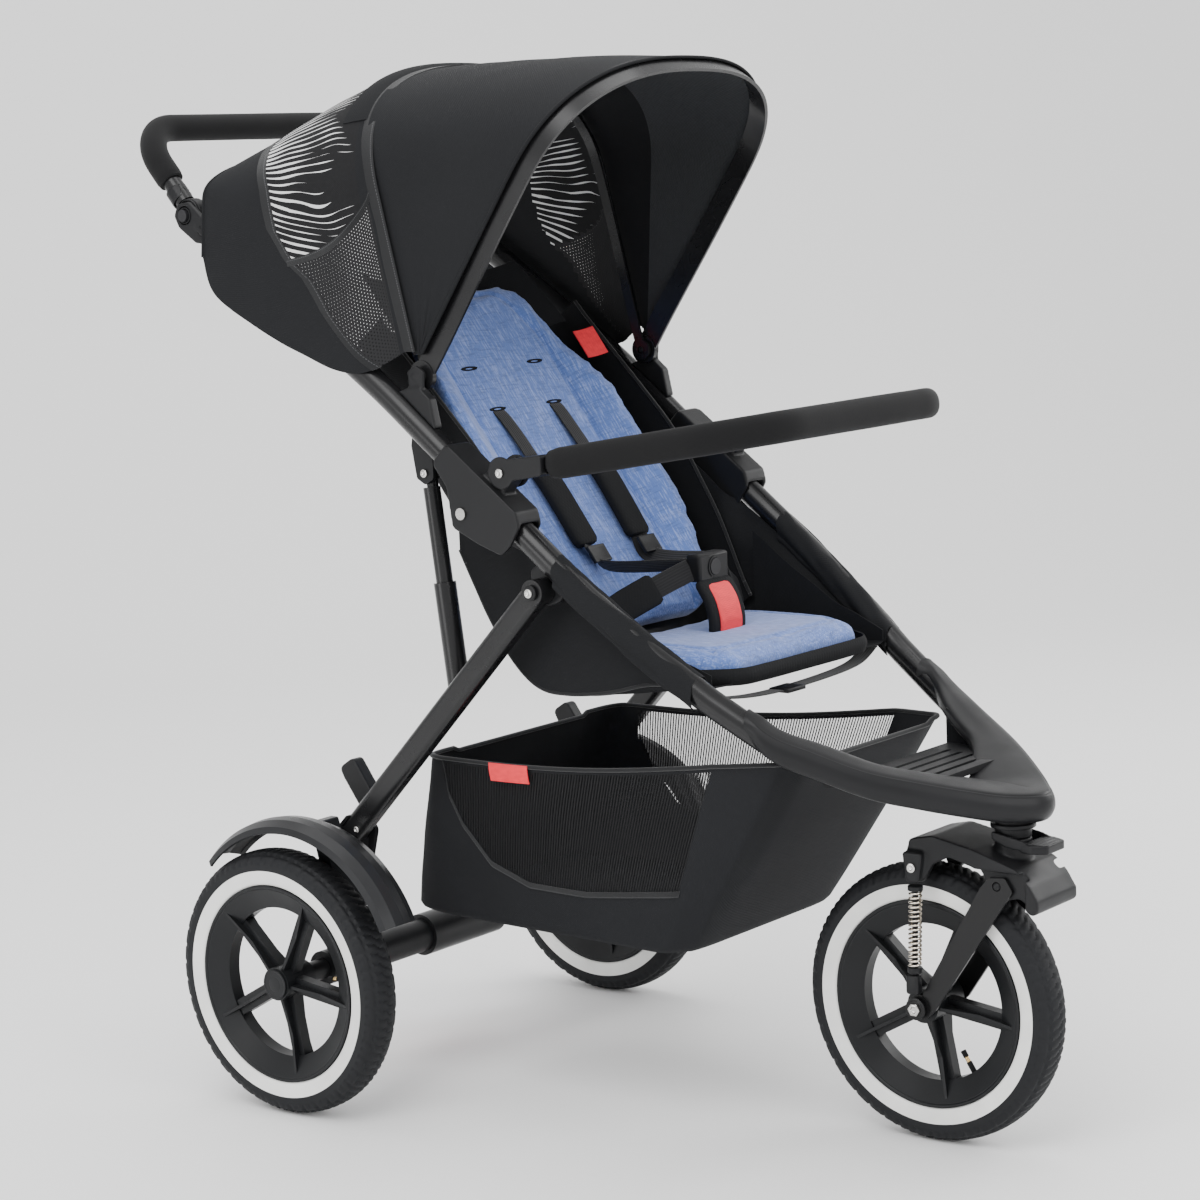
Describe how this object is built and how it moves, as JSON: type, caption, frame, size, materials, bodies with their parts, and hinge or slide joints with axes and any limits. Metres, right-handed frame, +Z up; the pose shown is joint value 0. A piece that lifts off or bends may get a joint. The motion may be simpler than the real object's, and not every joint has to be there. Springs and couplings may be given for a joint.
{
  "type": "jogging stroller",
  "caption": "Three-wheeled pushchair with a folding tube frame, air tyres, a swivel front fork, padded seat, canopy, bumper bar, basket and adjustable handlebar.",
  "frame": {"origin": "on the floor, under the middle of the outer box", "axes": "+Z up, -Y towards the front wheel, +X towards the chair's left side"},
  "size_m": [0.6314, 1.093, 1.1747],
  "materials": {
    "frame_tube": "satin black powder coat",
    "moulded_plastic": "fine grained black moulding",
    "button_plastic": "smooth dark grey moulding",
    "guard_plastic": "satin dark grey moulding",
    "rim_plastic": "satin black moulding",
    "tyre_rubber": "ribbed black rubber with a white side band",
    "steel": "black painted steel",
    "spring_chrome": "bright plated wire",
    "foam": "closed-cell foam",
    "canopy_fabric": "charcoal woven polyester",
    "seat_fabric": "black woven polyester",
    "basket_fabric": "charcoal woven polyester with mesh sides",
    "liner_fabric": "blue heather cloth",
    "harness_fabric": "black padded webbing",
    "pedal_plastic": "red moulding"
  },
  "bodies": {
    "front_frame": {"lower_rail_left": "frame_tube", "lower_rail_right": "frame_tube", "lower_rail_ends": "moulded_plastic", "nose_housing": "moulded_plastic", "footrest": "moulded_plastic", "leg_brackets": "moulded_plastic", "seat_sling": "seat_fabric", "seat_base_pad": "liner_fabric", "crotch_strap": "harness_fabric", "harness_buckle": "moulded_plastic", "basket": "basket_fabric"},
    "upper_frame": {"upper_rail_left": "frame_tube", "upper_rail_right": "frame_tube", "fold_housing_left": "moulded_plastic", "fold_housing_right": "moulded_plastic", "fold_screws": "steel", "strut_plates": "moulded_plastic", "canopy_clips": "moulded_plastic", "handle_forks": "moulded_plastic", "canopy_shell": "canopy_fabric", "canopy_rear": "canopy_fabric"},
    "buckle_button": {"buckle_button": "button_plastic"},
    "handlebar": {"handle_tube": "frame_tube", "handle_grip": "foam", "handle_hubs": "moulded_plastic"},
    "handle_button_left": {"handle_button_left": "button_plastic"},
    "handle_button_right": {"handle_button_right": "button_plastic"},
    "rear_legs": {"rear_leg_left": "frame_tube", "rear_leg_right": "frame_tube", "leg_shoes": "moulded_plastic", "axle_housing": "frame_tube", "axle_pins": "steel", "mudguard_left": "guard_plastic", "mudguard_right": "guard_plastic", "leg_paddles": "moulded_plastic"},
    "brake_pedal": {"brake_pedal": "pedal_plastic"},
    "strut_left": {"strut_left": "frame_tube"},
    "strut_right": {"strut_right": "frame_tube"},
    "rear_wheel_left": {"rear_tyre_left": "tyre_rubber", "rear_rim_left": "rim_plastic"},
    "rear_wheel_right": {"rear_tyre_right": "tyre_rubber", "rear_rim_right": "rim_plastic"},
    "fork": {"fork_crown": "moulded_plastic", "steerer": "steel", "springs": "spring_chrome"},
    "swivel_lock": {"swivel_lock": "moulded_plastic"},
    "suspension_arm": {"suspension_arm": "steel"},
    "front_wheel": {"front_tyre": "tyre_rubber", "front_rim": "rim_plastic"},
    "canopy_front_bow": {"canopy_front_bow": "frame_tube"},
    "canopy_mid_bow": {"canopy_mid_bow": "frame_tube"},
    "bumper_bar": {"bumper_tube": "frame_tube", "bumper_foam": "foam", "bumper_arms": "moulded_plastic"},
    "seat_pivot": {"seat_hinge_rod": "steel"},
    "seat_back": {"seat_board": "moulded_plastic", "back_pad": "liner_fabric", "shoulder_pads": "harness_fabric", "seat_back_fabric": "seat_fabric"}
  },
  "joints": [
    {"name": "fold", "type": "hinge", "parent": "front_frame", "child": "upper_frame", "pos_m": [0, 0.04245, 0.6881], "axis": [-1, 0, 0], "range_deg": [0, 100]},
    {"name": "leg_fold", "type": "hinge", "parent": "front_frame", "child": "rear_legs", "pos_m": [0, -0.05065, 0.607], "axis": [-1, 0, 0], "range_deg": [0, 50]},
    {"name": "strut_fold_left", "type": "hinge", "parent": "upper_frame", "child": "strut_left", "pos_m": [0.195, 0.11735, 0.727], "axis": [1, 0, 0], "range_deg": [0, 69]},
    {"name": "strut_fold_right", "type": "hinge", "parent": "upper_frame", "child": "strut_right", "pos_m": [-0.195, 0.11735, 0.727], "axis": [1, 0, 0], "range_deg": [0, 69]},
    {"name": "handle_tilt", "type": "hinge", "parent": "upper_frame", "child": "handlebar", "pos_m": [0, 0.44435, 1.017], "axis": [-1, 0, 0], "range_deg": [-25, 60]},
    {"name": "handle_button_left_press", "type": "slide", "parent": "handlebar", "child": "handle_button_left", "axis": [-1, 0, 0], "range_m": [0, 0.003]},
    {"name": "handle_button_right_press", "type": "slide", "parent": "handlebar", "child": "handle_button_right", "axis": [1, 0, 0], "range_m": [0, 0.003]},
    {"name": "canopy_fold", "type": "hinge", "parent": "upper_frame", "child": "canopy_front_bow", "pos_m": [0, 0.11455, 0.834], "axis": [-1, 0, 0], "range_deg": [0, 80], "deforming": ["canopy_shell", "canopy_rear"]},
    {"name": "canopy_mid_fold", "type": "hinge", "parent": "upper_frame", "child": "canopy_mid_bow", "pos_m": [0, 0.11455, 0.834], "axis": [-1, 0, 0], "range_deg": [0, 28.8]},
    {"name": "bumper_swing", "type": "hinge", "parent": "upper_frame", "child": "bumper_bar", "pos_m": [0, -0.01045, 0.7331], "axis": [-1, 0, 0], "range_deg": [-25, 55]},
    {"name": "seat_fold", "type": "hinge", "parent": "front_frame", "child": "seat_pivot", "pos_m": [0, -0.03465, 0.512], "axis": [-1, 0, 0], "range_deg": [0, 50]},
    {"name": "seat_recline", "type": "hinge", "parent": "seat_pivot", "child": "seat_back", "pos_m": [0, -0.03465, 0.512], "axis": [-1, 0, 0], "range_deg": [-9, 21]},
    {"name": "buckle_press", "type": "slide", "parent": "front_frame", "child": "buckle_button", "axis": [0, 1, 0], "range_m": [0, 0.002]},
    {"name": "brake_press", "type": "hinge", "parent": "rear_legs", "child": "brake_pedal", "pos_m": [0, 0.28365, 0.1525], "axis": [-1, 0, 0], "range_deg": [0, 25]},
    {"name": "rear_wheel_left_spin", "type": "hinge", "parent": "rear_legs", "child": "rear_wheel_left", "pos_m": [0.2927, 0.28365, 0.1525], "axis": [1, 0, 0], "continuous": true},
    {"name": "rear_wheel_right_spin", "type": "hinge", "parent": "rear_legs", "child": "rear_wheel_right", "pos_m": [-0.2927, 0.28365, 0.1525], "axis": [1, 0, 0], "continuous": true},
    {"name": "fork_swivel", "type": "hinge", "parent": "front_frame", "child": "fork", "pos_m": [0, -0.49565, 0.32], "axis": [0, 0, 1], "continuous": true},
    {"name": "swivel_lock_tilt", "type": "hinge", "parent": "fork", "child": "swivel_lock", "pos_m": [0, -0.49565, 0.347], "axis": [-1, 0, 0], "range_deg": [0, 10]},
    {"name": "suspension_travel", "type": "hinge", "parent": "fork", "child": "suspension_arm", "pos_m": [0, -0.49465, 0.296], "axis": [1, 0, 0], "range_deg": [0, 5], "deforming": ["springs"]},
    {"name": "front_wheel_spin", "type": "hinge", "parent": "suspension_arm", "child": "front_wheel", "pos_m": [0, -0.39565, 0.1525], "axis": [1, 0, 0], "continuous": true}
  ],
  "couplings": [
    {"joint": "leg_fold", "follows": "fold", "ratio": 0.5},
    {"joint": "strut_fold_left", "follows": "fold", "ratio": 0.69},
    {"joint": "strut_fold_right", "follows": "fold", "ratio": 0.69},
    {"joint": "seat_fold", "follows": "fold", "ratio": 0.5},
    {"joint": "canopy_mid_fold", "follows": "canopy_fold", "ratio": 0.36}
  ]
}
